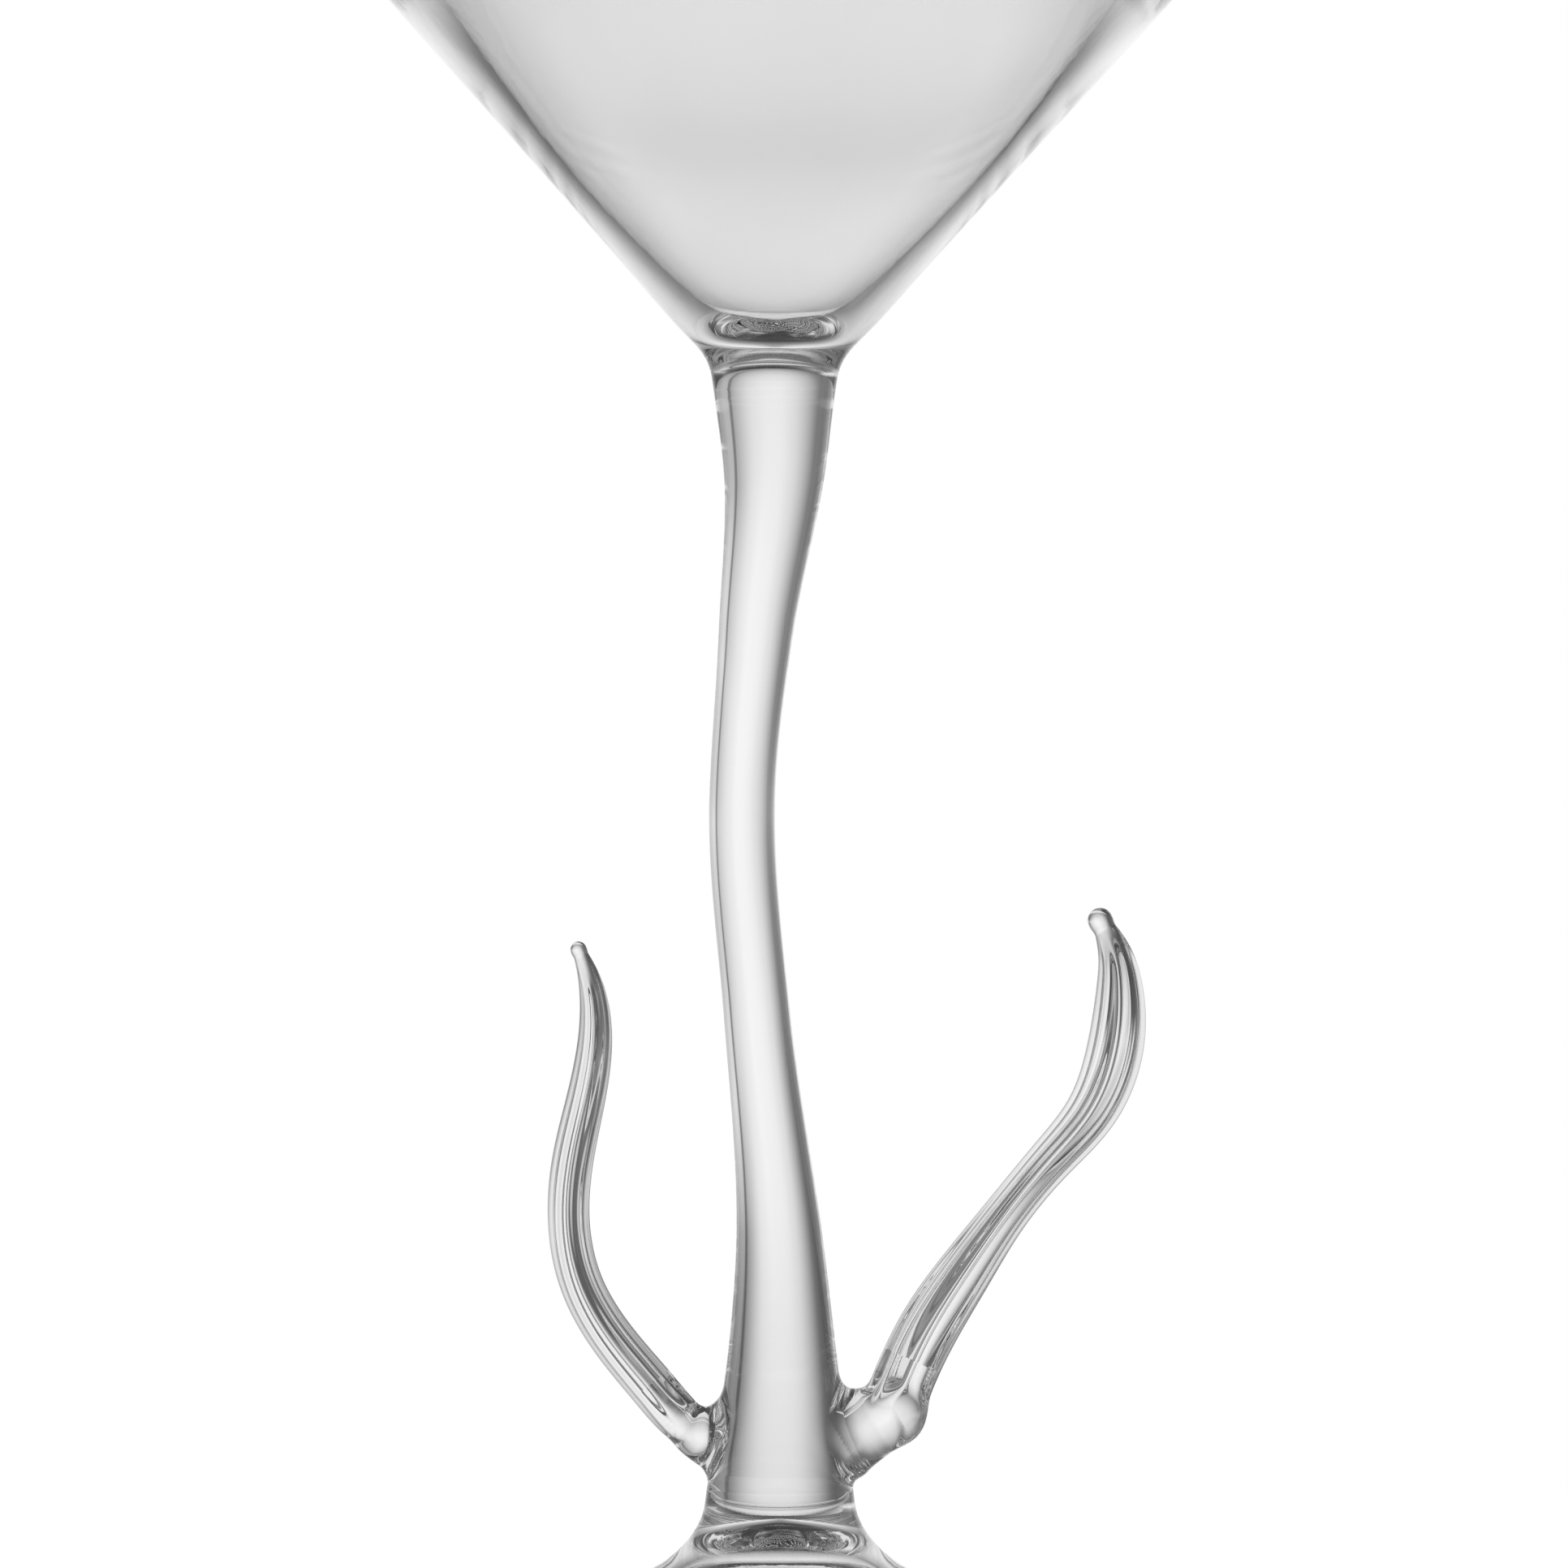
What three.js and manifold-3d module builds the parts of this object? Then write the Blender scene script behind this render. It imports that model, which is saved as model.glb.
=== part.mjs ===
// Martini glass: a blown cone-shaped bowl on a wavy solid stem, with two ribbed glass leaves and a flared
// hollow foot. Every piece is a separate gather of clear glass, fused to its neighbour where they meet, and
// a hairline seam is left between them here. Millimetres, +Z up. The origin is the centre of the plane that
// the foot rests on. The leaves reach out along -X (left) and +X (right).
import * as THREE from "three";
import { mergeVertices } from "three/addons/utils/BufferGeometryUtils.js";
import Module from "manifold-3d";

// Foot
const footRadius = 38.5;
const footHeight = 13.4; // up to the seam under the foot collar
const footEdgeThickness = 2.6;
const footKneeRadius = 15; // the throat turns into the flat apron here
const footKneeHeight = 6.7;
const footWall = 3.0; // glass between the flared top and the hollow underside, at the knee
const footTipWall = 1.4; // glass left above the tip of the hollow
const footTipRadius = 3.2; // the hollow ends in a blunt cone this wide
const footRestWidth = 3.0; // flat ring that touches the table
const neckSlope = -0.25; // slopes of the foot's outline, in radius gained for each millimetre of height
const kneeSlope = -2.9;
const edgeSlope = -14;
const hollowKneeSlope = -2.6;
const hollowTipSlope = -1.7;
const bluntSlope = -3.2;

// Collars, the short bits that join the stem to the foot and to the bowl
const footCollarHeight = 1.8;
const bowlCollarHeight = 1.9;
const collarWaist = 0.12; // how far a collar's side dips in
const footNeckRadius = 7.0; // where the foot collar meets the foot
const bowlNeckRadius = 6.1; // where the bowl collar meets the bowl

// Stem
const stemLength = 101.6;
const stemFootRadius = 7.0;
const stemTopRadius = 5.65;
const stemWaistRadius = 3.05; // the thin middle
const stemLowFlare = 50; // length over which the stem swells towards the foot
const stemHighFlare = 37; // length over which it swells towards the bowl
const stemSway = 3.5; // how far the middle swings to the left

// Bowl
const rimRadius = 56.0;
const bowlHeight = 56.2; // from its seam to the rim
const bowlLowWall = 2.0; // square to the flank, just above the round bottom
const bowlMidWall = 3.5; // the same, half-way up
const rimWall = 2.6; // the same, at the rounded lip
const bowlFloor = 2.6; // solid glass under the lowest point of the inside
const bowlRoundRadius = 8.5; // inside this radius the inside of the bowl is round
const bowlBendHeight = 1.2; // the neck's side and the straight flank would meet here without their fillet
const bowlBendReach = 0.35; // the same place, out from the neck's radius
const bowlFilletLength = 5; // from the neck into the straight flank

// Leaves
const leafRootRise = 4.5; // of both roots' axes above the stem's lower end
const leftLeafRise = 46.2; // of the tip above its root's axis
const rightLeafRise = 48.9;
const leftRootRadius = 2.55;
const rightRootRadius = 3.2;
const leftLeafHalfWidth = 2.3;
const rightLeafHalfWidth = 2.7;
const leafJoint = 0.15; // share of a branch that is root
const ribCount = 5;
const ribDepth = 0.09; // of the leaf's own half width
const leafDepth = 1.2; // front to back, against its half width
const ribTwist = 3.2; // radians that the ribs wind along a branch

// Fits
const seam = 0.3; // clearance between two pieces that are fused on the real glass

// How finely round shapes are divided
const latheSides = 56;
const stemSides = 28;
const stemRings = 36;
const leafSides = 25;
const leafRings = 34;
const rootRings = 10;

const stemBottom = footHeight + footCollarHeight;
const stemTop = stemBottom + stemLength;
const bowlBottom = stemTop + bowlCollarHeight;
const leafRootHeight = stemBottom + leafRootRise;

const wasm = await Module();
wasm.setup();

const clearGlass = { color: 0xf2f4f4, roughness: 0.02, metalness: 0, transparent: true, opacity: 0.35 };

function glassMesh(name, geometry) {
  const mesh = new THREE.Mesh(geometry, new THREE.MeshStandardMaterial(clearGlass));
  mesh.name = name;
  return mesh;
}

// Value at x of a smooth curve through rows of [x, value], with x rising.
function along(rows, x) {
  const last = rows.length - 1;
  if (x <= rows[0][0]) return rows[0][1];
  if (x >= rows[last][0]) return rows[last][1];
  let i = 0;
  while (rows[i + 1][0] < x) i++;
  const slopeAt = (k) => {
    const a = rows[Math.max(k - 1, 0)];
    const b = rows[Math.min(k + 1, last)];
    return (b[1] - a[1]) / (b[0] - a[0]);
  };
  const [x0, v0] = rows[i];
  const [x1, v1] = rows[i + 1];
  const span = x1 - x0;
  const t = (x - x0) / span;
  const t2 = t * t;
  const t3 = t2 * t;
  return (
    (2 * t3 - 3 * t2 + 1) * v0 +
    (t3 - 2 * t2 + t) * span * slopeAt(i) +
    (3 * t2 - 2 * t3) * v1 +
    (t3 - t2) * span * slopeAt(i + 1)
  );
}

// LatheGeometry turns its outline about Y, so the lathe is stood up to turn about Z.
function turned(outline) {
  return new THREE.LatheGeometry(outline, latheSides).rotateX(Math.PI / 2);
}

const point = (radius, height) => new THREE.Vector2(radius, height);

function curve(from, corner, to, count) {
  return new THREE.QuadraticBezierCurve(from, corner, to).getPoints(count);
}

// Where a line through a meets a line through b. Slopes are radius gained for each millimetre of height.
function crossing(a, slopeA, b, slopeB) {
  const rise = (b.x - a.x - slopeB * (b.y - a.y)) / (slopeA - slopeB);
  return point(a.x + slopeA * rise, a.y + rise);
}

// A round edge: points on a circle from one angle to another, without its ends.
function roundEdge(centre, radius, fromAngle, toAngle, count) {
  const points = [];
  for (let i = 1; i <= count; i++) {
    const angle = fromAngle + ((toAngle - fromAngle) * i) / (count + 1);
    points.push(point(centre.x + radius * Math.cos(angle), centre.y + radius * Math.sin(angle)));
  }
  return points;
}

// Rows of [share of the stem's length, share of its sway].
const stemSwayRows = [
  [0, 0],
  [0.13, -0.06],
  [0.25, 0.05],
  [0.43, 0.6],
  [0.61, 1],
  [0.78, 0.63],
  [0.91, 0.17],
  [1, 0.14],
];

function stemCentre(height) {
  return -stemSway * along(stemSwayRows, (height - stemBottom) / stemLength);
}

function stemRadius(height) {
  const low = Math.max(1 - Math.max(height - stemBottom, 0) / stemLowFlare, 0) ** 2.2;
  const high = Math.max(1 - Math.max(stemTop - height, 0) / stemHighFlare, 0) ** 2;
  const lowSwell = (stemFootRadius - stemWaistRadius) * low;
  const highSwell = (stemTopRadius - stemWaistRadius) * high;
  return stemWaistRadius + lowSwell + highSwell;
}

// The stem's level rings moved out by grow, from one height to another. It is a closed upright cylinder with
// each ring shifted and scaled.
function stemBody(low, high, grow) {
  const body = new THREE.CylinderGeometry(1, 1, 1, stemSides, stemRings).rotateX(Math.PI / 2);
  const place = body.getAttribute("position");
  for (let i = 0; i < place.count; i++) {
    const height = low + (high - low) * (place.getZ(i) + 0.5);
    const radius = stemRadius(height) + grow;
    place.setXYZ(i, stemCentre(height) + radius * place.getX(i), radius * place.getY(i), height);
  }
  return body;
}

function stem() {
  return glassMesh("stem", stemBody(stemBottom + seam / 2, stemTop - seam / 2, 0));
}

// The bowl leans back a little, so that its rim is centred over the foot although its neck follows the stem.
function bowl() {
  const neck = point(bowlNeckRadius, 0);
  const bend = point(bowlNeckRadius + bowlBendReach, bowlBendHeight);
  const lean = Math.atan2(rimRadius - bend.x, bowlHeight - bend.y);
  const outward = point(Math.cos(lean), -Math.sin(lean));
  const lip = point(rimRadius - rimWall / 2, bowlHeight - rimWall / 2);
  const rim = lip.clone().addScaledVector(outward, rimWall / 2);
  const flankStart = bend.clone().addScaledVector(rim.clone().sub(bend).normalize(), bowlFilletLength);
  const fillet = curve(neck, bend, flankStart, 4);
  const wallRows = [[0, bowlLowWall], [0.5, bowlMidWall], [1, rimWall]];
  const insideAt = (share) =>
    bend.clone().lerp(rim, share).addScaledVector(outward, -along(wallRows, share));
  const roundShare = (bowlRoundRadius + bowlLowWall * outward.x - bend.x) / (rim.x - bend.x);
  const inside = [];
  for (let i = 0; i <= 9; i++) inside.push(insideAt(1 + ((roundShare - 1) * i) / 9));
  const start = inside[9];
  const floorPoint = point(0, bowlFloor);
  const corner = point(start.x - Math.tan(lean) * (start.y - bowlFloor), bowlFloor);
  const round = curve(start, corner, floorPoint, 7);
  const edge = roundEdge(lip, rimWall / 2, -lean, Math.PI - lean, 4);
  const outline = [point(0, 0), ...fillet, rim, ...edge, ...inside, ...round.slice(1)];
  const mesh = glassMesh("bowl", turned(outline));
  mesh.position.set(stemCentre(stemTop), 0, bowlBottom + seam / 2);
  mesh.rotation.y = Math.asin(-stemCentre(stemTop) / bowlHeight);
  return mesh;
}

// A short spool between two round seams.
function collar(name, bottom, height, lowRadius, highRadius) {
  const low = point(lowRadius, seam / 2);
  const high = point(highRadius, height - seam / 2);
  const middle = point((lowRadius + highRadius) / 2 - collarWaist, height / 2);
  const side = curve(low, middle, high, 4);
  const mesh = glassMesh(name, turned([point(0, low.y), ...side, point(0, high.y)]));
  mesh.position.set(stemCentre(bottom), 0, bottom);
  return mesh;
}

function foot() {
  const neck = point(footNeckRadius, footHeight - seam / 2);
  const knee = point(footKneeRadius, footKneeHeight);
  const round = footEdgeThickness / 2;
  const edgeTop = point(footRadius - round, footEdgeThickness);
  const rest = point(footRadius - round, 0);
  const restInner = point(rest.x - footRestWidth, 0);
  const throat = curve(neck, crossing(neck, neckSlope, knee, kneeSlope), knee, 8);
  const apron = curve(knee, crossing(knee, kneeSlope, edgeTop, edgeSlope), edgeTop, 5);
  const edge = roundEdge(point(edgeTop.x, round), round, Math.PI / 2, -Math.PI / 2, 3);
  const kneeTilt = Math.atan(-1 / kneeSlope);
  const wallAcross = point(Math.sin(kneeTilt), Math.cos(kneeTilt)).multiplyScalar(footWall);
  const kneeInside = knee.clone().sub(wallAcross);
  const tip = point(0, footHeight - footTipWall);
  const blunt = point(footTipRadius, tip.y + footTipRadius / bluntSlope);
  const ceilingCorner = crossing(restInner, edgeSlope, kneeInside, hollowKneeSlope);
  const ceiling = curve(restInner, ceilingCorner, kneeInside, 5);
  const hollowCorner = crossing(kneeInside, hollowKneeSlope, blunt, hollowTipSlope);
  const hollow = curve(kneeInside, hollowCorner, blunt, 6);
  const under = [rest, ...ceiling, ...hollow.slice(1), tip];
  const outline = [point(0, neck.y), ...throat, ...apron.slice(1), ...edge, ...under];
  return glassMesh("foot", turned(outline.reverse()));
}

// Each branch runs from inside the stem, out through its root and up the leaf. Its places are rows of
// [distance out from the stem's side, y, height above the root's axis, share of the full half width]. The
// first three are in the root and the rest in the leaf, which is stretched to reach its own height.
const rootPlaces = 3;
const leftPlaces = [
  [-4.3, -0.1, 0.1, 1.3],
  [-1.6, -0.4, 0, 1.2],
  [0.6, -0.9, 0.1, 1],
  [2.8, -1.3, 1.4, 0.98],
  [5.7, -1.3, 5.0, 1],
  [9.4, -0.8, 9.8, 0.94],
  [12.1, 0, 14.6, 0.87],
  [13.4, 0.6, 20.4, 0.85],
  [13.0, 0.9, 26.0, 0.83],
  [11.7, 0.9, 32.0, 0.78],
  [10.9, 0.6, 38.0, 0.67],
  [11.3, 0.2, 42.4, 0.48],
  [12.6, 0, 45.4, 0.33],
  [12.9, 0, 46.2, 0.13],
];
const rightPlaces = [
  [-3.8, 0, 0, 1.22],
  [-1.1, 0, -0.1, 1.12],
  [1.8, 0, 0.3, 1],
  [3.9, 0, 2.2, 1],
  [5.4, 0.1, 5.8, 0.98],
  [7.4, 0.4, 10.2, 1],
  [10.3, 0.9, 15.2, 0.96],
  [14.1, 1.3, 20.4, 0.78],
  [18.9, 1.2, 26.2, 0.8],
  [22.6, 0.8, 30.4, 0.89],
  [24.7, 0.3, 35.8, 0.96],
  [25.2, 0, 41.6, 0.78],
  [24.7, -0.1, 45.2, 0.56],
  [23.5, -0.1, 48.0, 0.43],
  [23.0, -0.1, 48.9, 0.17],
];

function branch(name, side, places, rise, rootRadius, leafHalfWidth) {
  const last = places.length - 1;
  const reach = rise / places[last][2];
  const stemSide = stemRadius(leafRootHeight);
  const pathPoints = places.map(([out, y, up], i) => {
    const x = stemCentre(leafRootHeight) + side * (stemSide + out);
    return new THREE.Vector3(x, y, leafRootHeight + (i < rootPlaces ? up : up * reach));
  });
  const path = new THREE.CatmullRomCurve3(pathPoints);
  path.arcLengthDivisions = 400;
  const fullWidth = (i) => (i < rootPlaces ? rootRadius : leafHalfWidth);
  const widthRows = places.map((place, i) => [i / last, place[3] * fullWidth(i)]);
  return { name, path, widthRows, twist: -side * ribTwist };
}

// The branch between two shares of its length: a closed cylinder bent along it, round at the root, and along
// the leaf deeper than wide and ribbed, with the ribs winding round it.
function branchBody({ path, widthRows, twist }, from, to, rings) {
  const body = new THREE.CylinderGeometry(1, 1, 1, leafSides, rings).rotateX(Math.PI / 2);
  const place = body.getAttribute("position");
  for (let i = 0; i < place.count; i++) {
    const share = from + (to - from) * (place.getZ(i) + 0.5);
    const t = path.getUtoTmapping(share);
    const centre = path.getPoint(t);
    const way = path.getTangent(t);
    const deep = new THREE.Vector3(0, 1, 0).addScaledVector(way, -way.y).normalize();
    const wide = new THREE.Vector3().crossVectors(deep, way);
    const start = THREE.MathUtils.smoothstep(share, leafJoint, leafJoint + 0.12);
    const leafiness = start * (1 - THREE.MathUtils.smoothstep(share, 0.86, 0.97));
    const turn = Math.atan2(place.getY(i), place.getX(i));
    const rib = 1 + leafiness * ribDepth * Math.cos(ribCount * (turn - twist * share));
    const half = along(widthRows, t) * rib * Math.hypot(place.getX(i), place.getY(i));
    centre.addScaledVector(wide, half * Math.cos(turn));
    centre.addScaledVector(deep, half * Math.sin(turn) * (1 + (leafDepth - 1) * leafiness));
    place.setXYZ(i, centre.x, centre.y, centre.z);
  }
  return body;
}

function solidOf(geometry) {
  const plain = new THREE.BufferGeometry().setAttribute("position", geometry.getAttribute("position"));
  const merged = mergeVertices(plain.setIndex(geometry.index), 1e-4);
  return new wasm.Manifold(
    new wasm.Mesh({
      numProp: 3,
      vertProperties: new Float32Array(merged.getAttribute("position").array),
      triVerts: new Uint32Array(merged.index.array),
    }),
  );
}

function geometryOf(solid) {
  const mesh = solid.getMesh();
  const geometry = new THREE.BufferGeometry();
  geometry.setAttribute("position", new THREE.BufferAttribute(mesh.vertProperties, 3));
  geometry.setIndex(new THREE.BufferAttribute(mesh.triVerts, 1));
  geometry.computeVertexNormals();
  return geometry;
}

function leaf(limb) {
  const gap = seam / limb.path.getLength();
  return glassMesh(limb.name, branchBody(limb, leafJoint + gap, 1, leafRings));
}

// The root is the start of a branch, cut off a seam's width from the stem's own surface.
function leafRoot(limb) {
  const rod = solidOf(branchBody(limb, 0, leafJoint, rootRings));
  const stemZone = solidOf(stemBody(stemBottom - footCollarHeight, stemTop, seam));
  return glassMesh(limb.name + "_root", geometryOf(rod.subtract(stemZone)));
}

const left = branch("left_leaf", -1, leftPlaces, leftLeafRise, leftRootRadius, leftLeafHalfWidth);
const right = branch("right_leaf", 1, rightPlaces, rightLeafRise, rightRootRadius, rightLeafHalfWidth);

const glass = new THREE.Group();
glass.add(
  foot(),
  collar("foot_collar", footHeight, footCollarHeight, footNeckRadius, stemFootRadius),
  stem(),
  collar("bowl_collar", stemTop, bowlCollarHeight, stemTopRadius, bowlNeckRadius),
  bowl(),
  leafRoot(left),
  leaf(left),
  leafRoot(right),
  leaf(right),
);

export default glass;
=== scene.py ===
"""A hand-made martini glass of clear glass: a cone-shaped bowl on a wavy solid stem, with two ribbed glass leaves
fused to the stem above a flared, hollow foot.

Shapes are worked out in millimetres in the frame's own axes, and turned into metres where a mesh is made. The
pieces are fused in the real glass, so each one ends in a flat joint face that its neighbour shares. A joint face
has its own see-through material, and light goes from one piece to the next as it does in one lump of glass.
"""
import math

import bmesh
import bpy
import numpy as np
import openvdb
from mathutils import Matrix, Vector


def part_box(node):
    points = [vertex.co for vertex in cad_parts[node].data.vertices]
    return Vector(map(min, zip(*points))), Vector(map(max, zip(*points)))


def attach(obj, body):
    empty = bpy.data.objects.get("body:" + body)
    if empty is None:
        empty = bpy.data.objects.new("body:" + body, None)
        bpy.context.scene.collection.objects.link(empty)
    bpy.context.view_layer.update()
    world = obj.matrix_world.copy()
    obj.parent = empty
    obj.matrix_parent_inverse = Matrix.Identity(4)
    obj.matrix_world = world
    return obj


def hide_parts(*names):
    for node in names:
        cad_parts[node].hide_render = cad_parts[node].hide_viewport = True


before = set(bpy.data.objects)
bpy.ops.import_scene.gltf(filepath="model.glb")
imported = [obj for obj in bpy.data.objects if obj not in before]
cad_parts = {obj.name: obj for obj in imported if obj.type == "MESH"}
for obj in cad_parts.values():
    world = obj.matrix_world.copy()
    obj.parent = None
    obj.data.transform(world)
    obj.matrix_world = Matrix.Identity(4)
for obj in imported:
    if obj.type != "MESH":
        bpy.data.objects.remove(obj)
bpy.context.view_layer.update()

MM = 0.001
SEAM = 0.3  # gap that the CAD solids leave at a fused joint

# Places that the frame gives
FOOT_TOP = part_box("foot")[1][2] / MM + SEAM / 2
STEM_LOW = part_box("stem")[0][2] / MM - SEAM / 2
STEM_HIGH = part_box("stem")[1][2] / MM + SEAM / 2
BOWL_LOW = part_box("bowl_collar")[1][2] / MM + SEAM / 2
RIM_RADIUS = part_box("bowl")[1][0] / MM
RIM_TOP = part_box("bowl")[1][2] / MM
FOOT_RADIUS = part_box("foot")[1][0] / MM
STEM_TOP_CENTRE = (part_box("bowl_collar")[0][0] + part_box("bowl_collar")[1][0]) / 2 / MM

# Stem
STEM_FOOT_RADIUS = 6.8
STEM_TOP_RADIUS = 5.65
STEM_WAIST_RADIUS = 3.05
STEM_LOW_FLARE = 50
STEM_HIGH_FLARE = 37
STEM_SWAY = 3.5

# Leaves
LEAF_ROOT_RISE = 4.5
RIB_COUNT = 6
RIB_SHARPNESS = 0.18
FILLET = 2.5  # how far a root's fillet spreads on the stem
CREASE = 0.9  # how far a leaf's end blends into its root
ROOT_JOINT = 0.3  # from the stem's side to the flat joint with a root
LEAF_JOINT = 5.5  # along a leaf's path to the flat joint with its root
VOXEL = 0.14
RING_STEP = 0.2

WAVINESS = 0.012  # height of the glass's faint drawn lines

TURNED_SIDES = 256
STEM_SIDES = 256
LEAF_SIDES = 216


# ---------------------------------------------------------------- curves

def along(rows, x):
    """Values at x of a smooth curve through rows of [x, value]."""
    rows = np.asarray(rows, float)
    xs = rows[:, 0]
    vs = rows[:, 1]
    slopes = np.empty(len(rows))
    slopes[1:-1] = (vs[2:] - vs[:-2]) / (xs[2:] - xs[:-2])
    slopes[0] = (vs[1] - vs[0]) / (xs[1] - xs[0])
    slopes[-1] = (vs[-1] - vs[-2]) / (xs[-1] - xs[-2])
    x = np.clip(np.asarray(x, float), xs[0], xs[-1])
    i = np.clip(np.searchsorted(xs, x) - 1, 0, len(xs) - 2)
    span = xs[i + 1] - xs[i]
    t = (x - xs[i]) / span
    return (
        (2 * t**3 - 3 * t**2 + 1) * vs[i]
        + (t**3 - 2 * t**2 + t) * span * slopes[i]
        + (3 * t**2 - 2 * t**3) * vs[i + 1]
        + (t**3 - t**2) * span * slopes[i + 1]
    )


def natural_spline(points, spacing):
    """Points every spacing along a curve of even curvature. Values after the first three go along with the place."""
    points = np.asarray(points, float)
    steps = np.linalg.norm(np.diff(points[:, :3], axis=0), axis=1)
    knots = np.concatenate([[0], np.cumsum(steps)])
    n = len(points)
    matrix = np.eye(n)
    right = np.zeros_like(points)
    for i in range(1, n - 1):
        before = knots[i] - knots[i - 1]
        after = knots[i + 1] - knots[i]
        matrix[i, i - 1] = before
        matrix[i, i] = 2 * (before + after)
        matrix[i, i + 1] = after
        right[i] = 6 * ((points[i + 1] - points[i]) / after - (points[i] - points[i - 1]) / before)
    bend = np.linalg.solve(matrix, right)
    s = np.linspace(0, knots[-1], max(int(round(knots[-1] / spacing)), 2) + 1)
    i = np.clip(np.searchsorted(knots, s) - 1, 0, n - 2)
    h = (knots[i + 1] - knots[i])[:, None]
    a = ((knots[i + 1] - s) / h[:, 0])[:, None]
    b = 1 - a
    return (
        a * points[i] + b * points[i + 1]
        + ((a**3 - a) * bend[i] + (b**3 - b) * bend[i + 1]) * h**2 / 6
    )


def smoothstep(x, low, high):
    t = np.clip((x - low) / (high - low), 0, 1)
    return t * t * (3 - 2 * t)


# ---------------------------------------------------------------- stem, roots and leaves

SWAY_ROWS = [[0, 0], [0.13, -0.06], [0.25, 0.05], [0.43, 0.6], [0.61, 1], [0.78, 0.63], [0.91, 0.17], [1, 0.14]]


def stem_centre(z):
    return -STEM_SWAY * along(SWAY_ROWS, (z - STEM_LOW) / (STEM_HIGH - STEM_LOW))


def stem_radius(z):
    low = np.clip(1 - np.maximum(z - STEM_LOW, 0) / STEM_LOW_FLARE, 0, 1) ** 2.2
    high = np.clip(1 - np.maximum(STEM_HIGH - z, 0) / STEM_HIGH_FLARE, 0, 1) ** 2
    swell = (STEM_FOOT_RADIUS - STEM_WAIST_RADIUS) * low + (STEM_TOP_RADIUS - STEM_WAIST_RADIUS) * high
    return STEM_WAIST_RADIUS + swell


ROOT_Z = STEM_LOW + LEAF_ROOT_RISE
STEM_SIDE = float(stem_radius(ROOT_Z))

# A leaf's path, from the base that is sunk in its root: distance out from the stem's side, y, height above the
# root's axis, and half width
LEFT_PATH = [
    [2.3, -1.2, 1.3, 2.05],
    [3.6, -1.4, 2.6, 2.15],
    [5.7, -1.3, 5.0, 2.18],
    [9.65, -0.8, 9.8, 2.1],
    [12.35, 0, 14.6, 2.0],
    [13.5, 0.6, 20.4, 1.94],
    [13.1, 0.9, 26.0, 1.92],
    [11.8, 0.9, 32.0, 1.8],
    [11.0, 0.6, 38.0, 1.54],
    [11.5, 0.2, 42.4, 1.1],
    [12.6, 0, 45.4, 0.6],
]
RIGHT_PATH = [
    [4.4, 0.4, 2.3, 2.75],
    [4.8, 0.3, 3.8, 2.8],
    [5.6, 0.2, 6.0, 2.8],
    [7.6, 0.4, 10.2, 2.78],
    [10.75, 0.9, 15.2, 2.55],
    [14.4, 1.3, 20.4, 2.12],
    [19.15, 1.2, 26.2, 2.12],
    [22.6, 0.8, 30.4, 2.4],
    [24.7, 0.3, 35.8, 2.62],
    [25.2, 0, 41.6, 2.2],
    [24.7, -0.1, 45.2, 1.55],
    [23.4, -0.1, 48.1, 0.85],
]
# A leaf's section at the bottom, middle and top: share of the height, depth as a share of the half width, turn of
# the ribs in degrees, rib depth as a share of the half width, how far the depth tapers to the right, and lean of
# the section in degrees
LEFT_SECTIONS = [
    [0.0, 0.97, 65, 0.06, 0.81, 5],
    [0.5, 0.98, 83, 0.075, 0.84, 10],
    [1.0, 1.0, 168, 0.08, 0.86, 14],
]
RIGHT_SECTIONS = [
    [0.0, 1.09, 234, 0.114, 0.72, -19],
    [0.5, 1.0, 327, 0.087, 0.85, -9],
    [1.0, 0.9, 384, 0.06, 0.96, 1],
]
RIBS_START = 5  # height above the root's axis at which the ribs are whole
RIBS_FADE = 4.5  # height over which they fade out below the tip


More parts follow.
